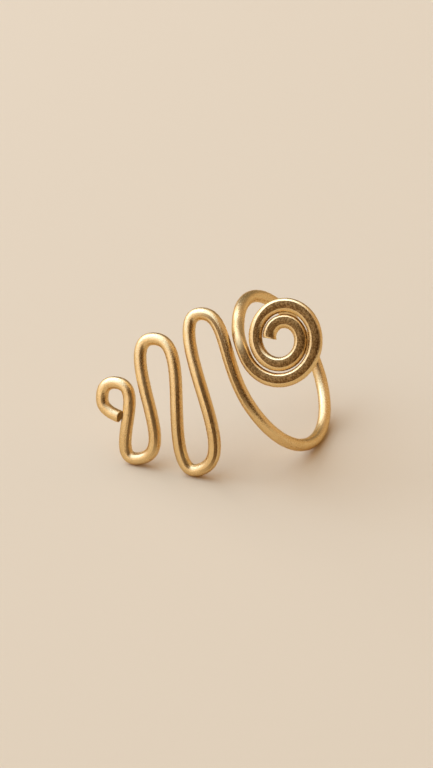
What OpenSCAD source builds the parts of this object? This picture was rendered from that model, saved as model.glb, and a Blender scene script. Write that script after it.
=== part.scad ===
// A finger ring bent from one length of round brass wire.
// The wire starts at a cut end inside a flat open spiral, winds outwards, goes once round
// the finger as a hoop, comes up in front and runs on as a row of shrinking waves that ends
// in a small curl. The ring lies on a surface as it would by itself: it stands on the feet
// of the two waves and on the lowest stretch of the hoop.

/* [Wire] */
// Diameter of the round wire (mm)
wire_d = 1.5; // [1.2:0.1:1.6]
// Width of the broken edge round each cut end (mm)
cut_edge = 0.1; // [0.05:0.05:0.2]
// Slant of the cut at the spiral's inner end, its inner side left longer (deg)
cut_slant = 18; // [0:2:20]

/* [Finger hoop] */
// Inside diameter of the hoop, the finger size (mm)
finger_d = 17; // [16:0.5:19]
// How far the hoop climbs along the finger in one full turn (mm)
hoop_climb = 2; // [1.8:0.2:3]
// Where the hoop starts, from its front over the top (deg)
hoop_from = 40; // [35:5:50]
// Where the hoop ends, back at its front from below (deg)
hoop_to = 335; // [325:5:340]

/* [Spiral] */
// Radius of the spiral's outer end, at the wire's middle (mm)
spiral_r = 5; // [4.9:0.05:5.3]
// How far the spiral draws in with each turn (mm)
spiral_pitch = 1.8; // [1.75:0.05:1.9]
// How far round the spiral winds (deg)
spiral_turn = 697; // [600:1:720]
// Distance of the spiral's middle along the finger from the hoop's start (mm)
spiral_side = 5.8; // [5.6:0.1:6.4]
// Height of the spiral's middle above the finger's middle (mm)
spiral_up = 0.95; // [0.5:0.05:1.5]
// How far the spiral lies in front of the hoop, between the wire's middles (mm)
spiral_out = 0.75; // [0.7:0.05:1]
// Turn of the spiral's face away from the waves (deg)
spiral_yaw = 3.5; // [0:0.5:6]
// How much thinner the spiral's wire is pressed, from its front to its back (share)
spiral_press = 0.14; // [0.06:0.02:0.2]
// How much wider that pressing makes the wire (share)
spiral_spread = 0.1; // [0.04:0.02:0.12]

/* [Waves] */
// Distance of the first wave's foot along the finger from the hoop's start (mm)
waves_side = 11; // [11:0.1:12]
// Height of that foot above the hoop's lowest point, between the wire's middles (mm)
waves_low = 0.75; // [0.5:0.05:1]
// How far that foot lies behind the hoop's front, between the wire's middles (mm)
waves_behind = 0.85; // [0.7:0.05:1]
// Turn of the waves' face towards the spiral (deg)
waves_yaw = 3; // [0:0.5:5]
// Lean of the waves' tops towards the wearer's eye (deg)
waves_nod = 8; // [6:0.5:10]
// Tip of the row of waves in its own face, its far end up (deg)
waves_roll = 17.5; // [16:0.5:18.5]
// Radius of the bow across the waves' height (mm)
waves_bow = 34; // [30:1:60]

/* [Hidden] */
HOOP_R = (finger_d + wire_d) / 2;
// Handles of the two bends that join spiral, hoop and waves
LEAVE_SPIRAL = 2.1;
MEET_HOOP = 2.15;
LEAVE_HOOP = 5.7;
// Height in the waves' face at which their bow stands out furthest
BOW_TOP = 9;

// Turns of the waves and the curl, each where the wire runs level or stands upright.
// The first foot is the origin; along is away from the spiral, and a heading of 0 runs
// straight along, 90 up. The leads are the handles of the bend on either side.
ALONG = 0;
HEIGHT = 1;
HEADING = 2;
LEAD_IN = 3;
LEAD_OUT = 4;
WAVES = [
    [-2.70, 17.95,    3, 3.4, 5.1],  // first crest
    [-0.20,  0.00,  -11, 7.3, 5.3],  // first foot
    [ 3.60, 15.65,    3, 6.4, 4.9],  // second crest
    [ 7.15,  1.85,   -4, 6.2, 4.9],  // second foot
    [ 8.85, 11.00,    8, 4.9, 1.5],  // top of the curl
    [10.85,  8.95,  -90, 1.2, 0.9],  // far side of the curl
    [ 8.80,  7.00, -158, 0.9, 0.0],  // cut end
];

// Corners round the wire, and how far it turns from one ring of the mesh to the next (deg).
// A millimetre of straight wire counts as a few degrees of turn.
WIRE_SIDES = 16;
RING_TURN = 9;
STRAIGHT_TURN = 2;
// Length over which the pressed stretch runs out, a quarter of it past the spiral's outer end
PRESS_FADE = 6;
// Length of wire over which the rings of the mesh turn square again behind the slanting cut
SLANT_FADE = 2;
// Points of the wire's line on each bend, and between two of them on the round stretches (deg)
BEND_POINTS = 60;
ROUND_STEP = 3;

// Roughly which way is up once the ring lies at rest, and how often that is worked out anew
FIRST_UP = [0.5, -0.4, 0.7];
REST_ROUNDS = 6;

function unit(v) = v / norm(v);
function turned(v, a) = [v.x * cos(a) - v.y * sin(a), v.x * sin(a) + v.y * cos(a), v.z];
function tipped(v, a) = [v.x, v.y * cos(a) - v.z * sin(a), v.y * sin(a) + v.z * cos(a)];
function rolled(v, a) = [v.x * cos(a) + v.z * sin(a), v.y, v.z * cos(a) - v.x * sin(a)];
function bend(a, b, c, d, s) =
    pow(1 - s, 3) * a + 3 * pow(1 - s, 2) * s * b + 3 * (1 - s) * pow(s, 2) * c + pow(s, 3) * d;
function bend_points(a, b, c, d) = [for (i = [1:BEND_POINTS]) bend(a, b, c, d, i / BEND_POINTS)];
function arc_steps(turn) = ceil(turn / ROUND_STEP);

// The ring is first drawn round a level finger: X runs along the finger towards the
// spiral, Z is up, and the front of the hoop faces -Y.
function hoop_at(a) = [-hoop_climb * a / 360, -HOOP_R * cos(a), HOOP_R * sin(a)];
function hoop_heading(a) = unit(hoop_at(a + 1) - hoop_at(a - 1));
hoop_turn = hoop_to - hoop_from;
hoop_steps = arc_steps(hoop_turn);
hoop = [for (i = [1:hoop_steps]) hoop_at(hoop_from + hoop_turn * i / hoop_steps)];

SPIRAL_MIDDLE = [spiral_side, -HOOP_R - spiral_out, spiral_up];
function spiral_at(a) =
    SPIRAL_MIDDLE + (spiral_r - spiral_pitch * a / 360) * turned([-cos(a), 0, -sin(a)], spiral_yaw);
spiral_steps = arc_steps(spiral_turn);
spiral = [for (i = [0:spiral_steps]) spiral_at(spiral_turn * (1 - i / spiral_steps))];

FIRST_FOOT = [-waves_side, -HOOP_R + waves_behind, -HOOP_R + waves_low];
function in_face(v) = turned(tipped(rolled(v, waves_roll), waves_nod), waves_yaw);
function bow(height) = height * (2 * BOW_TOP - height) / (2 * waves_bow);
function wave_at(along, height) = FIRST_FOOT + in_face([-along, -bow(height), height]);
function wave_heading(row) =
    let (a = row[HEADING], step = 0.01)
    unit(wave_at(row[ALONG] + step * cos(a), row[HEIGHT] + step * sin(a))
        - wave_at(row[ALONG], row[HEIGHT]));
function spot(row, lead) =
    [row[ALONG], row[HEIGHT]] + lead * [cos(row[HEADING]), sin(row[HEADING])];
function wave_bend(i) =
    let (
        from = WAVES[i],
        to = WAVES[i + 1],
        flat = bend_points(spot(from, 0), spot(from, from[LEAD_OUT]),
            spot(to, -to[LEAD_IN]), spot(to, 0))
    )
    [for (p = flat) wave_at(p.x, p.y)];
waves = [for (i = [0:len(WAVES) - 2]) each wave_bend(i)];

// The spiral's outer end and both ends of the hoop run on smoothly into what they join
function joint(a, a_heading, a_lead, b, b_heading, b_lead) =
    bend_points(a, a + a_lead * a_heading, b - b_lead * b_heading, b);
first_crest = wave_at(WAVES[0][ALONG], WAVES[0][HEIGHT]);
spiral_to_hoop = joint(spiral_at(0), unit(spiral_at(0) - spiral_at(1)), LEAVE_SPIRAL,
    hoop_at(hoop_from), hoop_heading(hoop_from), MEET_HOOP);
hoop_to_waves = joint(hoop_at(hoop_to), hoop_heading(hoop_to), LEAVE_HOOP,
    first_crest, wave_heading(WAVES[0]), WAVES[0][LEAD_IN]);
drawn = concat(spiral, spiral_to_hoop, hoop, hoop_to_waves, waves);

// At rest the ring stands on the lowest points of both feet and of the hoop. The upward
// direction and those three points depend on each other, so they settle in a few rounds.
first_foot = concat(wave_bend(0), wave_bend(1));
second_foot = concat(wave_bend(2), wave_bend(3));
function lowest(points, up) =
    let (heights = [for (p = points) p * up])
    points[search(min(heights), heights)[0]];
function rest_up(up, rounds) =
    rounds == 0 ? up :
    let (
        a = lowest(first_foot, up),
        b = lowest(second_foot, up),
        c = lowest(hoop, up),
        square_up = unit(cross(b - a, c - a))
    )
    rest_up(square_up * sign(square_up * up), rounds - 1);
REST_UP = rest_up(unit(FIRST_UP), REST_ROUNDS);
REST_X = unit([1, 0, 0] - REST_UP * REST_UP.x);
REST_Y = cross(REST_UP, REST_X);

// The mesh gets a ring of corners each time the wire has turned far enough. A short cone
// at each end is the broken edge of the cut.
last = len(drawn) - 1;
function turn_at(i) =
    let (a = drawn[i] - drawn[i - 1], b = drawn[i + 1] - drawn[i])
    atan2(norm(cross(a, b)), a * b) + STRAIGHT_TURN * norm(b);
turned_by = [for (i = 1, t = 0; i < last; i = i + 1, t = t + turn_at(i - 1)) floor(t / RING_TURN)];
function clear_of_cuts(p) = min(norm(p - drawn[0]), norm(p - drawn[last])) > 2 * cut_edge;
kept = [for (i = [2:last - 1])
    if (turned_by[i - 1] > turned_by[i - 2] && clear_of_cuts(drawn[i])) drawn[i]];
function inwards(a, b) = a + cut_edge * unit(b - a);
traced = concat([drawn[0], inwards(drawn[0], drawn[1])], kept,
    [inwards(drawn[last], drawn[last - 1]), drawn[last]]);
line = [for (p = traced) [p * REST_X, p * REST_Y, p * REST_UP]];
ends = len(line) - 1;
spiral_face = turned([0, -1, 0], spiral_yaw);
face = [spiral_face * REST_X, spiral_face * REST_Y, spiral_face * REST_UP];
// Each ring's first corner is carried on from the ring before it, so the tube doesn't twist.
// It starts out in front, so the corners lie evenly on the pressed spiral.
headings = [for (i = [0:ends]) unit(line[min(i + 1, ends)] - line[max(i - 1, 0)])];
function carried(side, heading) = unit(side - heading * (side * heading));
sides = [for (i = 0, s = carried(face, headings[0]); i <= ends;
    i = i + 1, s = carried(s, headings[min(i, ends)])) s];
function ring_r(i) = wire_d / 2 - (i == 0 || i == ends ? cut_edge : 0);
spiral_length = PI / 180 * spiral_turn * (spiral_r - spiral_pitch * spiral_turn / 720);
runs = [for (i = 0, s = 0; i <= ends; i = i + 1, s = s + norm(line[min(i, ends)] - line[i - 1])) s];
function eased(x) = x <= 0 ? 0 : x >= 1 ? 1 : x * x * (3 - 2 * x);
function pressed(v, share) =
    let (out = (v * face) * face)
    (1 + spiral_spread * share) * (v - out) + (1 - spiral_press * share) * out;
function slanted(v, i) =
    let (lean = tan(cut_slant) * eased(1 - runs[i] / SLANT_FADE))
    v - lean * (v * cross(headings[i], face)) * headings[i];
corners = [for (i = [0:ends], k = [0:WIRE_SIDES - 1])
    let (
        a = 360 * k / WIRE_SIDES,
        round_corner = ring_r(i) * (cos(a) * sides[i] + sin(a) * cross(headings[i], sides[i])),
        share = eased((spiral_length - runs[i]) / PRESS_FADE + 0.25)
    )
    line[i] + slanted(pressed(round_corner, share), i)];
function corner(i, k) = i * WIRE_SIDES + k % WIRE_SIDES;
mantle = [for (i = [0:ends - 1], k = [0:WIRE_SIDES - 1])
    each [[corner(i, k), corner(i, k + 1), corner(i + 1, k)],
        [corner(i, k + 1), corner(i + 1, k + 1), corner(i + 1, k)]]];
start_face = [for (k = [1:WIRE_SIDES - 2]) [corner(0, 0), corner(0, k + 1), corner(0, k)]];
end_face = [for (k = [1:WIRE_SIDES - 2]) [corner(ends, 0), corner(ends, k), corner(ends, k + 1)]];

function span(axis) = [for (p = corners) p[axis]];
function middle(axis) = (min(span(axis)) + max(span(axis))) / 2;
// The origin is on the surface, under the middle of the ring's box
ORIGIN = [middle(0), middle(1), min(span(2))];

module ring_wire() {
    color([0.74, 0.56, 0.30])
        polyhedron([for (p = corners) p - ORIGIN], concat(mantle, start_face, end_face));
}

ring_wire();
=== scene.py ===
import math
import bpy
import numpy as np
from mathutils import Matrix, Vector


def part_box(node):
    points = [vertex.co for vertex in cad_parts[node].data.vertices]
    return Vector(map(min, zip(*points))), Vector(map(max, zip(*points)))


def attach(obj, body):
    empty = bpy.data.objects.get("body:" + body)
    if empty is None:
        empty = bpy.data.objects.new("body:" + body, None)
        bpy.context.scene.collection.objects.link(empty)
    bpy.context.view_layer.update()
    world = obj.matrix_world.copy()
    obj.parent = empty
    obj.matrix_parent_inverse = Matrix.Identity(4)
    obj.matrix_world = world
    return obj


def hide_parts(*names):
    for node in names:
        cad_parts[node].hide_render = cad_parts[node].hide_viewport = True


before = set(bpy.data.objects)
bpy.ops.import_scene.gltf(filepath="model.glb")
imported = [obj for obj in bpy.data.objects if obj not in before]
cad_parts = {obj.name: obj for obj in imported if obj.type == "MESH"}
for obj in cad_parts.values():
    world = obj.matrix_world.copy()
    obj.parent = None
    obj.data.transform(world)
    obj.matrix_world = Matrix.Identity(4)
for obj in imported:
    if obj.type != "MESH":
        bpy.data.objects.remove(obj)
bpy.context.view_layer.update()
print("frame: the packed ring is loaded")

mm = 0.001
scene = bpy.context.scene


# Small sums on vectors. Lengths are in mm until the mesh is made, and angles are in degrees.

def vec(*parts):
    return np.array(parts, float)


def unit(v):
    return v / np.linalg.norm(v, axis=-1, keepdims=True)


def cosSin(degrees):
    return math.cos(math.radians(degrees)), math.sin(math.radians(degrees))


def turned(v, degrees):    # about Z
    c, s = cosSin(degrees)
    return vec(v[0] * c - v[1] * s, v[0] * s + v[1] * c, v[2])


def tipped(v, degrees):    # about X
    c, s = cosSin(degrees)
    return vec(v[0], v[1] * c - v[2] * s, v[1] * s + v[2] * c)


def rolled(v, degrees):    # about Y
    c, s = cosSin(degrees)
    return vec(v[0] * c + v[2] * s, v[1], v[2] * c - v[0] * s)


def towards(azimuth, height):    # azimuth from the front (-Y) towards the right (+X)
    c, s = cosSin(azimuth)
    level, rise = cosSin(height)
    return vec(s * level, -c * level, rise)


def eased(x):    # 0 up to 0, 1 from 1, smooth between
    x = np.clip(x, 0, 1)
    return x * x * (3 - 2 * x)


# The line of the wire, with the same bends as the solid: first round a level finger

wire = {
    "diameter": 1.5,
    "visible": 0.737,      # radius of the smooth tube, so that it stays inside the solid's corners
    "sides": 48,
    "ringStep": 0.11,      # between two rings of the mesh
    "roundStep": 0.75,     # degrees between two points of the line round the spiral and the hoop
    "bendSteps": 240,      # points of the line in any other bend
    "peekRound": 1.0,      # how far ahead its heading is looked for: degrees round the hoop or spiral
    "peekAlong": 0.01,     # and mm along the waves
}
hoop = {"inside": 17.0, "climb": 2.0, "start": 40.0, "end": 335.0}    # the climb is that of a whole turn
hoopRadius = (hoop["inside"] + wire["diameter"]) / 2


def bendPoints(a, b, c, d):    # a smooth bend from a to d, with its handles at b and c
    s = (np.arange(1, wire["bendSteps"] + 1) / wire["bendSteps"])[:, None]
    return (1 - s) ** 3 * a + 3 * (1 - s) ** 2 * s * b + 3 * (1 - s) * s ** 2 * c + s ** 3 * d


def hoopAt(a):
    c, s = cosSin(a)
    return vec(-hoop["climb"] * a / 360, -hoopRadius * c, hoopRadius * s)


def hoopHeading(a):
    return unit(hoopAt(a + wire["peekRound"]) - hoopAt(a - wire["peekRound"]))


spiral = {
    "outer": 5.0, "pitch": 1.8, "turn": 697.0,
    # where its middle lies beside, above and in front of the hoop's, and how far its face turns
    "side": 5.8, "up": 0.95, "out": 0.75, "yaw": 3.5,
    # its wire is pressed a little flatter, which spreads it. That fades over this length of wire, of
    # which this share lies past the spiral's outer end
    "press": 0.14, "spread": 0.1, "fade": 6.0, "pastEnd": 0.25,
    # uneven blows of the press: how deep, how far apart, how much and how fast that distance varies
    "blows": 0.006, "blowPitch": 1.3, "blowDrift": 1.5, "driftRate": 1.3,
}


def spiralAt(a):
    c, s = cosSin(a)
    middle = vec(spiral["side"], -hoopRadius - spiral["out"], spiral["up"])
    radius = spiral["outer"] - spiral["pitch"] * a / 360
    return middle + radius * turned(vec(-c, 0, -s), spiral["yaw"])


waves = {
    # where the first foot lies beside, above and behind the hoop's lowest and foremost points
    "side": 11.0, "low": 0.75, "behind": 0.85,
    # how the face that both waves lie in is turned, then the radius of its bow, and at what height
    # it stands out most
    "yaw": 3.0, "nod": 8.0, "roll": 17.5, "bow": 34.0, "bowTop": 9.0,
    # along, height, heading, handle before, handle after
    "bends": [
        (-2.70, 17.95, 3, 3.4, 5.1),      # first crest
        (-0.20, 0.00, -11, 7.3, 5.3),     # first foot
        (3.60, 15.65, 3, 6.4, 4.9),       # second crest
        (7.15, 1.85, -4, 6.2, 4.9),       # second foot
        (8.85, 11.00, 8, 4.9, 1.5),       # top of the curl
        (10.85, 8.95, -90, 1.2, 0.9),     # far side of the curl
        (8.80, 7.00, -158, 0.9, 0.0),     # cut end
    ],
}
firstFoot = vec(-waves["side"], -hoopRadius + waves["behind"], -hoopRadius + waves["low"])


def waveAt(along, height):
    bow = height * (2 * waves["bowTop"] - height) / (2 * waves["bow"])
    inFace = rolled(vec(-along, -bow, height), waves["roll"])
    return firstFoot + turned(tipped(inFace, waves["nod"]), waves["yaw"])


def waveHeading(row):
    c, s = cosSin(row[2])
    ahead = waveAt(row[0] + wire["peekAlong"] * c, row[1] + wire["peekAlong"] * s)
    return unit(ahead - waveAt(row[0], row[1]))


def waveBend(i):
    def spot(row, lead):
        c, s = cosSin(row[2])
        return vec(row[0] + lead * c, row[1] + lead * s)
    before, after = waves["bends"][i:i + 2]
    corners = spot(before, 0), spot(before, before[4]), spot(after, -after[3]), spot(after, 0)
    return np.array([waveAt(*p) for p in bendPoints(*corners)])


joins = {"leaveSpiral": 2.1, "meetHoop": 2.15, "leaveHoop": 5.7}    # handles of the lead and the rise


def join(a, aHeading, aLead, b, bHeading, bLead):    # each end with its heading and its handle's length
    return bendPoints(a, a + aLead * aHeading, b - bLead * bHeading, b)


def drawStretches():
    spiralSteps = round(spiral["turn"] / wire["roundStep"])
    spiralTurns = [spiral["turn"] * (1 - i / spiralSteps) for i in range(spiralSteps + 1)]
    spiralHeading = unit(spiralAt(0) - spiralAt(wire["peekRound"]))
    hoopTurn = hoop["end"] - hoop["start"]
    hoopSteps = round(hoopTurn / wire["roundStep"])
    hoopTurns = [hoop["start"] + hoopTurn * i / hoopSteps for i in range(1, hoopSteps + 1)]
    crest = waves["bends"][0]
    found = {
        "spiral": np.array([spiralAt(a) for a in spiralTurns]),
        "lead": join(spiralAt(0), spiralHeading, joins["leaveSpiral"],
                     hoopAt(hoop["start"]), hoopHeading(hoop["start"]), joins["meetHoop"]),
        "hoop": np.array([hoopAt(a) for a in hoopTurns]),
        "rise": join(hoopAt(hoop["end"]), hoopHeading(hoop["end"]), joins["leaveHoop"],
                     waveAt(*crest[:2]), waveHeading(crest), crest[3]),
    }
    for i in range(len(waves["bends"]) - 1):
        found["wave%d" % i] = waveBend(i)
    return found


rest = {"guess": (0.5, -0.4, 0.7), "rounds": 6}    # roughly up, and how often that is bettered


def restUp(found):
    # At rest the ring stands on both feet and on the lowest stretch of the hoop
    feet = [np.concatenate([found["wave0"], found["wave1"]]),
            np.concatenate([found["wave2"], found["wave3"]]),
            found["hoop"]]
    up = unit(vec(*rest["guess"]))
    for again in range(rest["rounds"]):
        a, b, c = [f[np.argmin(f @ up)] for f in feet]
        square = unit(np.cross(b - a, c - a))
        up = square * np.sign(square @ up)
    return up


stretches = drawStretches()
up = restUp(stretches)
restX = unit(vec(1, 0, 0) - up * up[0])
restAxes = np.array([restX, np.cross(up, restX), up])
spiralFace = restAxes @ turned(vec(0, -1, 0), spiral["yaw"])
drawn = np.concatenate(list(stretches.values())) @ restAxes.T


def evenly(points, step):
    # The same line again, with its points one short step apart
    run = np.r_[0, np.cumsum(np.linalg.norm(np.diff(points, axis=0), axis=1))]
    at = np.linspace(0, run[-1], round(run[-1] / step) + 1)
    return np.array([np.interp(at, run, points[:, k]) for k in range(3)]).T, at


line, along = evenly(drawn, wire["ringStep"])
spiralLength = evenly(stretches["spiral"], wire["ringStep"])[1][-1]
heading = unit(np.gradient(line, axis=0))

# Two directions square to the wire, carried along it without twist
side = np.zeros_like(line)
carried = spiralFace
for i, h in enumerate(heading):
    carried = unit(carried - h * (carried @ h))
    side[i] = carried
over = np.cross(heading, side)
print("line: %.1f mm of wire, %d rings" % (along[-1], len(line)))


# The tube round that line, with what hands and tools left on it

angles = np.arange(wire["sides"]) * 2 * math.pi / wire["sides"]
cuts = {
    # from the wire's skin to the middle of the cut face: distance from the middle, depth
    "profile": [(0.737, 0.12), (0.733, 0.07), (0.718, 0.032), (0.692, 0.008), (0.664, 0.0), (0.640, 0.006),
                (0.622, 0.028), (0.58, 0.036), (0.48, 0.039), (0.36, 0.041), (0.24, 0.040), (0.12, 0.039)],
    "face": 0.65,          # the face lies within this distance of the middle
    "slant": 18.0,         # of the spiral's cut end, its inner side left longer
    "square": 2.0,         # length of wire over which the rings of the mesh turn square again
    # ripples that the cutter leaves across it: depth, distance apart, lean, how far clear of its edge
    "shear": 0.010, "shearPitch": 0.16, "shearLean": 0.6, "shearClear": 0.05,
}
marks = {
    # where pliers held the wire: along it, angle round it, depth, half length, half width in degrees
    "nips": [
        (2.1, 96, 0.030, 0.55, 34), (2.2, 268, 0.026, 0.55, 34), (42.6, 75, 0.022, 0.8, 30),
        (47.4, 250, 0.024, 0.8, 30), (93.5, 200, 0.018, 0.9, 28), (110.0, 40, 0.022, 0.8, 30),
        (114.8, 215, 0.020, 0.8, 30), (127.4, 130, 0.020, 0.9, 30), (143.2, 310, 0.022, 0.8, 30),
        (157.6, 60, 0.020, 0.8, 30), (170.2, 20, 0.026, 0.6, 34), (173.6, 140, 0.026, 0.6, 34),
        (177.6, 205, 0.030, 0.55, 36), (177.7, 25, 0.026, 0.55, 36),
    ],
    "rim": 1.2,            # where a nip has run out, in half lengths from its middle
    # slow unevenness of the drawn wire: its depth, the lengths and starts of three waves, the share
    # of the shortest, and how slowly it winds round the wire
    "waver": 0.004, "waverWaves": [(3.1, 0), (1.7, 1), (0.9, 2)], "shortShare": 0.4, "winding": 9,
}


def skinRadius():
    radius = np.full((len(line), wire["sides"]), wire["visible"])
    degrees = np.degrees(angles)
    for at, angle, depth, halfLength, halfWidth in marks["nips"]:
        lengthwise = eased(marks["rim"] - np.abs(along - at) / halfLength)
        apart = np.abs((degrees - angle + 180) % 360 - 180)
        radius -= depth * lengthwise[:, None] * eased(marks["rim"] - apart / halfWidth)[None, :]
    longest, middling, shortest = [np.sin(along / length + start) for length, start in marks["waverWaves"]]
    slow = longest * middling + shortest * marks["shortShare"]
    lopsided = slow[:, None] * np.cos(angles - along[:, None] / marks["winding"])
    return radius - marks["waver"] * (1 + lopsided) / 2


def pressed(offsets, share, at):
    # Presses the wire a little flatter along the spiral's face, which spreads it in the spiral's plane
    drift = spiral["blowDrift"] * np.sin(spiral["driftRate"] * at)
    blows = 0.5 + 0.5 * np.sin(at / spiral["blowPitch"] * 2 * math.pi + drift)
    thinner = spiral["press"] + spiral["blows"] * blows
    rise = (offsets @ spiralFace)[..., None]
    across = (offsets - rise * spiralFace) * (1 + spiral["spread"] * share)[..., None]
    return across + rise * (1 - thinner * share)[..., None] * spiralFace


def slanted(offsets, at, way):
    lean = math.tan(math.radians(cuts["slant"])) * eased(1 - at / cuts["square"])
    aside = (offsets * np.cross(way, spiralFace)).sum(axis=-1)
    return offsets - (lean * aside)[..., None] * way


def tubeRings():
    c, s = np.cos(angles)[None, :, None], np.sin(angles)[None, :, None]
    outward = c * side[:, None, :] + s * over[:, None, :]
    share = eased((spiralLength - along) / spiral["fade"] + spiral["pastEnd"])
    share = share[:, None] * np.ones(wire["sides"])
    offsets = pressed(outward * skinRadius()[..., None], share, along[:, None])
    offsets = slanted(offsets, along[:, None], heading[:, None, :])
    trim = math.ceil(cuts["profile"][0][1] / wire["ringStep"])
    body = slice(trim, len(line) - trim)
    skin = (line[:, None, :] + offsets)[body]
    return skin, outward[body], heading[body], along[body], line[body]


def endRings(last):
    # From the wire's skin over the broken edge to the middle of the cut face
    i = -1 if last else 0
    outwards = heading[i] if last else -heading[i]
    around = np.cos(angles)[:, None] * side[i] + np.sin(angles)[:, None] * over[i]
    acrossRipples = around @ unit(side[i] + cuts["shearLean"] * over[i])
    share = np.full(wire["sides"], 0.0 if last else 1.0)
    rings = []
    for radius, depth in cuts["profile"][1:]:
        ripple = np.sin(acrossRipples * radius * 2 * math.pi / cuts["shearPitch"])
        down = depth + cuts["shear"] * ripple * (radius < cuts["face"] - cuts["shearClear"])
        offsets = slanted(pressed(around * radius, share, along[i]), along[i], heading[i])
        rings.append(line[i] + offsets - down[:, None] * outwards)
    return np.array(rings), line[i] - cuts["profile"][-1][1] * outwards


skin, outward, skinHeading, skinAlong, skinLine = tubeRings()
startRings, startMiddle = endRings(False)
lastRings, lastMiddle = endRings(True)
rings = np.concatenate([startRings[::-1], skin, lastRings])
verts = np.concatenate([rings.reshape(-1, 3), [startMiddle, lastMiddle]])

# Down onto the surface, over the middle of the solid's box
low, high = [np.array(corner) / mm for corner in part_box("ring_wire")]
shift = (low + high) / 2 - (verts.min(axis=0) + verts.max(axis=0)) / 2
shift[2] = low[2] - verts[:, 2].min()
verts += shift


def added(name, data):    # a new object in the scene
    made = bpy.data.objects.new(name, data)
    scene.collection.objects.link(made)
    return made


def makeWire():
    sides = wire["sides"]
    index = np.arange(len(rings) * sides).reshape(len(rings), sides)
    beside = np.roll(index, -1, axis=1)
    quads = np.stack([index[:-1], beside[:-1], beside[1:], index[1:]], axis=-1).reshape(-1, 4).tolist()
    first, last = len(verts) - 2, len(verts) - 1
    fans = [(first, int(beside[0, k]), int(index[0, k])) for k in range(sides)]
    fans += [(last, int(index[-1, k]), int(beside[-1, k])) for k in range(sides)]
    mesh = bpy.data.meshes.new("ringWire")
    mesh.from_pydata((verts * mm).tolist(), [], quads + fans)
    mesh.polygons.foreach_set("use_smooth", [True] * len(mesh.polygons))
    mesh.update()
    return added("ringWire", mesh)


ringWire = makeWire()
print("wire: %d corners, %d faces" % (len(verts), len(ringWire.data.polygons)))


# What the finish follows is kept on the mesh: each corner's place on the wire before it was bent,
# how much painted shade it gets from strands close by, whether it was cut, and where the strips of painted
# dark reflection go

# Painted shade: a corner with another strand close in front of it is darkened, as if in the shade between the
# strands
crevices = {
    "reach": 2.6,          # between the middles of two strands, where the painted shade begins
    "touching": 1.5,       # and where it is whole
    "ownBend": 3.2,        # a strand doesn't shelter itself within this length of wire
    "every": 4,            # rings between the points of the line that are tested
}
# Painted reflection: dark strips along the wire where it faces the dark side of the room, with lighter specks
# in them as painted glints. Their dark colours also paint the shade between strands and on the cut faces.
paintedShadeAndReflection = {
    # strips of painted dark reflection along the wire, where it would mirror the dark side of the room: the
    # way they face, half their width round it in degrees, where they start and end along it, the length over
    # which they fade, how dark
    "strips": [
        ((4, 34), 31.5, -6.0, 41.5, 5.0, 1.0), ((2, 22), 14, 93.5, 105.5, 4.0, 0.9),
        ((28, 20), 16, 114.0, 125.0, 4.0, 0.9), ((30, 20), 17, 129.5, 139.0, 4.0, 0.9),
        ((28, 20), 16, 150.5, 159.0, 4.0, 0.7), ((40, 10), 13, 163.5, 170.0, 4.0, 0.75),
    ],
    "slim": (11.7, 18.3, 3.5, 0.42),    # where the spiral's strip is slimmer: from, to, fade, by how much
    "edge": (0.9, 1.1),                 # share of the half width over which the painted dark reflection fades out at its edge
    "clear": 2.0,                       # half widths from a strip's middle that lie off any strip
    "ragged": 0.22,
    "dark": (0.12, 0.052, 0.010, 1),
    "paintedGlints": (0.36, 0.197, 0.06, 1),
    # between which heights of the grain lighter specks, painted glints, lie in the dark, and how much the
    # grain and the specks bring them
    "glintGrain": (0.45, 0.58), "glintsBy": {"grain": 0.75, "specks": 0.35},
    "dull": 0.2,                        # how much less metallic it is
}


# Painted shade between strands: how near and how squarely another strand lies in front of each corner
def shelter():
    reach, touching = crevices["reach"], crevices["touching"]
    points, runs = line[::crevices["every"]], along[::crevices["every"]]
    found = np.zeros((len(skinAlong), wire["sides"]))
    for i, (at, place) in enumerate(zip(skinAlong, skinLine)):
        offset = points[np.abs(runs - at) > crevices["ownBend"]] - place
        distance = np.linalg.norm(offset, axis=1)
        near = distance < reach
        if near.any():
            facing = np.clip(outward[i] @ (offset[near] / distance[near][:, None]).T, 0, 1) ** 2
            found[i] = (facing * eased((reach - distance[near]) / (reach - touching))).max(axis=1)
    return found


def within(start, end, fade):
    # 1 along the wire from start to end, 0 beyond, eased over the fade
    return eased((skinAlong - start) / fade + 0.5) * eased((end - skinAlong) / fade + 0.5)


def reflectionStrips():
    # How many half widths each corner lies from the middle of a strip of painted dark reflection, and how
    # dark that strip is
    off = np.full(outward.shape[:2], paintedShadeAndReflection["clear"])
    share = np.zeros(len(skinAlong))
    *slimPlace, slimmer = paintedShadeAndReflection["slim"]
    width = (1 - slimmer * within(*slimPlace))[:, None]
    for facing, half, start, end, fade, amount in paintedShadeAndReflection["strips"]:
        inside = amount * within(start, end, fade)
        here = inside > share
        way = towards(*facing)
        way = unit(way - skinHeading * (skinHeading @ way)[:, None])[:, None, :]
        degrees = np.degrees(np.arccos(np.clip((outward * way).sum(axis=-1), -1, 1)))
        off[here] = (degrees / (half * width))[here]
        share = np.maximum(share, inside)
    return off, share[:, None] * np.ones(wire["sides"])


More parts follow.
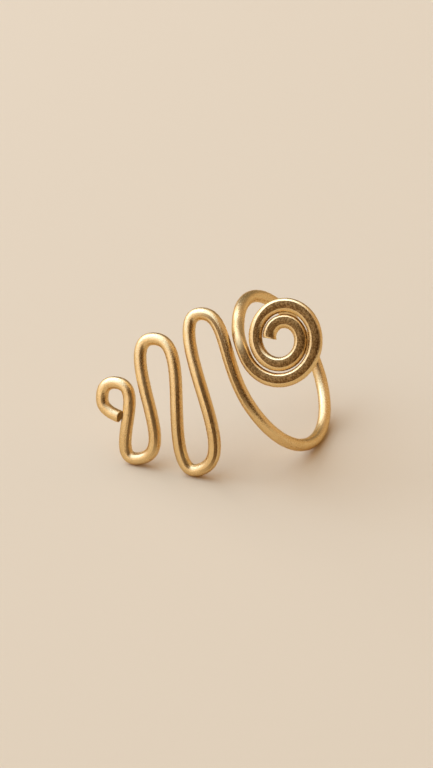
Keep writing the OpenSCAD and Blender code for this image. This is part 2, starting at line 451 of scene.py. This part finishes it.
def noteFinish():
    sides = wire["sides"]
    profile = np.array(cuts["profile"][1:])
    radii = np.concatenate([profile[::-1, 0], np.full(len(skin), wire["visible"]), profile[:, 0]])
    runs = np.concatenate([along[0] + profile[::-1, 1], skinAlong, along[-1] - profile[:, 1]])
    straight = np.stack([radii[:, None] * np.cos(angles), radii[:, None] * np.sin(angles),
                         runs[:, None] + np.zeros(sides)], axis=-1)
    middles = [[0, 0, along[0]], [0, 0, along[-1]]]
    none = np.zeros((len(profile), sides))
    clear = none + paintedShadeAndReflection["clear"]
    off, share = reflectionStrips()
    notes = {
        "cutFace": (radii < cuts["face"])[:, None] + np.zeros(sides),
        "offStrip": np.concatenate([clear, off, clear]),
        "darkened": np.concatenate([none, share, none]),
        "sheltered": np.concatenate([none, shelter(), none]),
    }
    kept = ringWire.data.attributes
    places = np.concatenate([straight.reshape(-1, 3), middles])
    kept.new("straightWire", "FLOAT_VECTOR", "POINT").data.foreach_set("vector", places.ravel())
    for name, values in notes.items():
        atMiddles = [name == "cutFace"] * 2
        kept.new(name, "FLOAT", "POINT").data.foreach_set("value", np.r_[values.ravel(), atMiddles])


noteFinish()
print("wire: finish notes kept on the mesh")


# One output of a node tree. Sums and products of these add their Math nodes.

class Socket:
    def __init__(self, tree, out=None):
        self.tree, self.out = tree, out

    def node(self, kind, settings={}, sockets={}, out=0):
        made = self.tree.nodes.new(kind)
        for name, value in settings.items():
            setattr(made, name, value)
        for name, value in sockets.items():
            if isinstance(value, Socket):
                self.tree.links.new(value.out, made.inputs[name])
            else:
                made.inputs[name].default_value = value
        return Socket(self.tree, None if out is None else made.outputs[out])

    def math(self, operation, a, b):
        return self.node("ShaderNodeMath", {"operation": operation}, {0: a, 1: b})

    def mix(self, a, b):    # from colour a to colour b by this value
        # 6 and 7 are the Mix node's colours, and 2 is its colour output
        return self.node("ShaderNodeMix", {"data_type": "RGBA"}, {"Factor": self, 6: a, 7: b}, 2)

    def step(self, low, high):    # 0 below low, 1 above high, smooth between
        return self.node("ShaderNodeMapRange", {"interpolation_type": "SMOOTHSTEP"},
                         {"Value": self, "From Min": low, "From Max": high})

    def __add__(self, other):
        return self.math("ADD", self, other)

    def __radd__(self, other):
        return self.math("ADD", other, self)

    def __sub__(self, other):
        return self.math("SUBTRACT", self, other)

    def __rsub__(self, other):
        return self.math("SUBTRACT", other, self)

    def __mul__(self, other):
        return self.math("MULTIPLY", self, other)

    def __rmul__(self, other):
        return self.math("MULTIPLY", other, self)


brass = {
    "body": (0.83, 0.60, 0.285, 1),
    "rubbed": (0.87, 0.67, 0.38, 1),
    "toneAndShade": (0.66, 0.41, 0.15, 1),
    "edge": (0.84, 0.68, 0.47, 1),    # where it is seen at a glancing angle
    # patterns in the metal: how many to a mm, how drawn out along the wire, detail, shift to one side
    "grain": (6.3, 1.0, 3.0, 0.0),
    "specks": (10.71, 1.0, 2.0, 40.0),
    "dieLines": (9.0, 0.03, 2.0, 15.0),
    "clouds": (0.8, 0.6, 4.0, 80.0),
    "fine": 0.55,                     # how strong the finest detail in them is
    # between which heights of its pattern each mark comes in
    "mottleStep": (0.38, 0.64), "speckStep": (0.5, 0.66), "lineStep": (0.45, 0.7),
    "cloudStep": (0.42, 0.66), "gapShadeStep": (0.5, 0.95),
    # how much of the next colour each one brings
    "rubbedBy": {"lines": 0.4},
    # the darker tone comes at random from mottle, specks and clouds, and also as painted shade where strands
    # lie close
    "toneAndShadeBy": {"mottle": 0.2, "specks": 0.1, "clouds": 0.2, "sheltered": 0.4},
    # the painted dark colour lies as painted shade in the gaps between strands and on the cut faces
    "paintedDarkBy": {"gapShade": 0.8, "cut": 0.9},
    "roughness": 0.20,
    "rougherBy": {"mottle": 0.07, "clouds": 0.04, "darkened": 0.30, "cut": 0.14},
    "bump": 0.14, "bumpStrength": 0.35,    # depth in mm
    "raisedBy": {"lines": 0.25, "grain": 0.45, "darkenedGrain": 0.4, "specks": 0.12},
}


def brassMaterial():
    material = bpy.data.materials.new("brassWire")
    material.use_nodes = True
    tree = material.node_tree
    tree.nodes.clear()
    start = Socket(tree)

    def note(name, out="Fac"):
        return start.node("ShaderNodeAttribute", {"attribute_name": name}, out=out)

    place = note("straightWire", "Vector")
    cut, sheltered = note("cutFace"), note("sheltered")

    def noise(scale, lengthwise, detail, shift):
        at = start.node("ShaderNodeVectorMath", {"operation": "MULTIPLY_ADD"},
                        {0: place, 1: (1, 1, lengthwise), 2: (shift, 0, 0)})
        return start.node("ShaderNodeTexNoise", {},
                          {"Vector": at, "Scale": scale, "Detail": detail, "Roughness": brass["fine"]})

    def total(shares, **patterns):
        parts = [pattern * shares[name] for name, pattern in patterns.items()]
        return sum(parts[1:], parts[0])

    grain = noise(*brass["grain"])
    specks = noise(*brass["specks"]).step(*brass["speckStep"])
    lines = noise(*brass["dieLines"])
    clouds = noise(*brass["clouds"]).step(*brass["cloudStep"])
    mottle = grain.step(*brass["mottleStep"])
    # The strips of painted dark reflection, and lighter specks in them as painted glints
    off = note("offStrip") + (grain - 0.5) * paintedShadeAndReflection["ragged"]
    darkened = (1 - off.step(*paintedShadeAndReflection["edge"])) * note("darkened")
    paintedGlints = total(paintedShadeAndReflection["glintsBy"], grain=grain.step(*paintedShadeAndReflection["glintGrain"]), specks=specks)
    paintedDark = paintedGlints.mix(paintedShadeAndReflection["dark"], paintedShadeAndReflection["paintedGlints"])

    rubbed = total(brass["rubbedBy"], lines=lines.step(*brass["lineStep"]))
    # A darker tone at random, and painted shade where strands lie close
    toneAndShade = total(brass["toneAndShadeBy"], mottle=mottle, specks=specks, clouds=clouds, sheltered=sheltered)
    gapShade = sheltered.step(*brass["gapShadeStep"]) * brass["paintedDarkBy"]["gapShade"]
    colour = toneAndShade.mix(rubbed.mix(brass["body"], brass["rubbed"]), brass["toneAndShade"])
    # The strips of painted dark reflection, the painted shade in the gaps between strands and the painted
    # shade on the cut faces carry the same dark colour
    for share in (darkened, gapShade, cut * brass["paintedDarkBy"]["cut"]):
        colour = share.mix(colour, paintedDark)
    rougher = total(brass["rougherBy"], mottle=mottle, clouds=clouds, darkened=darkened, cut=cut)
    height = total(brass["raisedBy"], lines=lines, grain=grain, darkenedGrain=darkened * grain, specks=specks)
    bump = start.node("ShaderNodeBump", {}, {"Strength": brass["bumpStrength"],
                                             "Distance": brass["bump"] * mm, "Height": height})
    shader = start.node("ShaderNodeBsdfPrincipled", {},
                        {"Base Color": colour, "Metallic": 1 - darkened * paintedShadeAndReflection["dull"],
                         "Roughness": brass["roughness"] + rougher,
                         "Specular Tint": brass["edge"], "Normal": bump})
    start.node("ShaderNodeOutputMaterial", {}, {"Surface": shader}, None)
    return material


ringWire.data.materials.append(brassMaterial())
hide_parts("ring_wire")
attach(ringWire, "root")
print("wire: brass on")


# The pale surface it lies on

table = {"half": 1.2, "colour": (0.735, 0.575, 0.355, 1), "roughness": 0.85}    # half its side in m


def makeTable():
    h = table["half"]
    mesh = bpy.data.meshes.new("table")
    mesh.from_pydata([(-h, -h, 0), (h, -h, 0), (h, h, 0), (-h, h, 0)], [], [(0, 1, 2, 3)])
    material = bpy.data.materials.new("paleTable")
    material.use_nodes = True
    shader = material.node_tree.nodes["Principled BSDF"]
    shader.inputs["Base Color"].default_value = table["colour"]
    shader.inputs["Roughness"].default_value = table["roughness"]
    mesh.materials.append(material)
    added("table", mesh)


makeTable()
print("table: laid")


# Camera, lights and the room. Directions are from the front towards the right, then up.

view = {
    "place": (65.27, -207.05, 128.35),
    "turn": 17.80, "down": 29.26, "roll": -2.24,
    "lens": 98.4, "sensor": 36.0,
    "near": 10, "far": 10000,    # what it can see lies between these
}
lights = {
    # direction, distance, size, brightness
    "window": ((-108, 40), 900, (1060, 700), (1.12, 1.3, 1.8)),
    "overhead": ((-148, 66), 900, (760, 620), (0.56, 0.62, 0.77)),
}
room = {
    "walls": (0.70, 0.525, 0.36, 1),
    # colour, direction, then the angles from it where the patch is whole and where it has gone
    "patches": [
        ((1.25, 1.10, 1.0, 1), (-70, 0), 50, 82),          # pale card, low at the left
        ((0.08, 0.042, 0.016, 1), (42, 22), 30, 46),       # dark side of the room, behind the camera
        ((1.28, 1.68, 2.5, 1), (-84, 54), 20, 50),         # cool daylight round the window
        ((0.28, 0.25, 0.22, 1), (-172, 14), 24, 40),       # dim wall, low behind the ring
    ],
}


def lookingFrom(azimuth, height):    # the turn of what stands there and looks back
    turn, tip = math.radians(azimuth), math.pi / 2 - math.radians(height)
    return Matrix.Rotation(turn, 4, "Z") @ Matrix.Rotation(tip, 4, "X")


def makeCamera():
    data = bpy.data.cameras.new("camera")
    data.sensor_fit = "VERTICAL"
    data.sensor_height = view["sensor"]
    data.lens = view["lens"]
    data.clip_start, data.clip_end = view["near"] * mm, view["far"] * mm
    made = added("camera", data)
    pose = lookingFrom(view["turn"], view["down"]) @ Matrix.Rotation(math.radians(view["roll"]), 4, "Z")
    made.matrix_world = Matrix.Translation([c * mm for c in view["place"]]) @ pose
    scene.camera = made


def makeLight(name, direction, distance, size, brightness):
    data = bpy.data.lights.new(name, "AREA")
    data.shape = "RECTANGLE"
    data.size, data.size_y = size[0] * mm, size[1] * mm
    data.energy = math.pi * data.size * data.size_y    # so that its size changes no brightness
    data.color = brightness
    made = added(name, data)
    made.visible_camera = False
    made.matrix_world = Matrix.Translation(towards(*direction) * distance * mm) @ lookingFrom(*direction)


def makeRoom():
    world = bpy.data.worlds.new("room")
    world.use_nodes = True
    tree = world.node_tree
    start = Socket(tree)
    way = start.node("ShaderNodeTexCoord", out="Generated")
    colour = room["walls"]
    for patch, direction, whole, gone in room["patches"]:
        near = start.node("ShaderNodeVectorMath", {"operation": "DOT_PRODUCT"},
                          {0: way, 1: tuple(towards(*direction))}, "Value")
        colour = near.step(cosSin(gone)[0], cosSin(whole)[0]).mix(colour, patch)
    tree.links.new(colour.out, tree.nodes["Background"].inputs["Color"])
    scene.world = world


makeCamera()
for name, setting in lights.items():
    makeLight(name, *setting)
makeRoom()
scene.view_settings.view_transform = "Standard"
print("studio: camera and lights set")
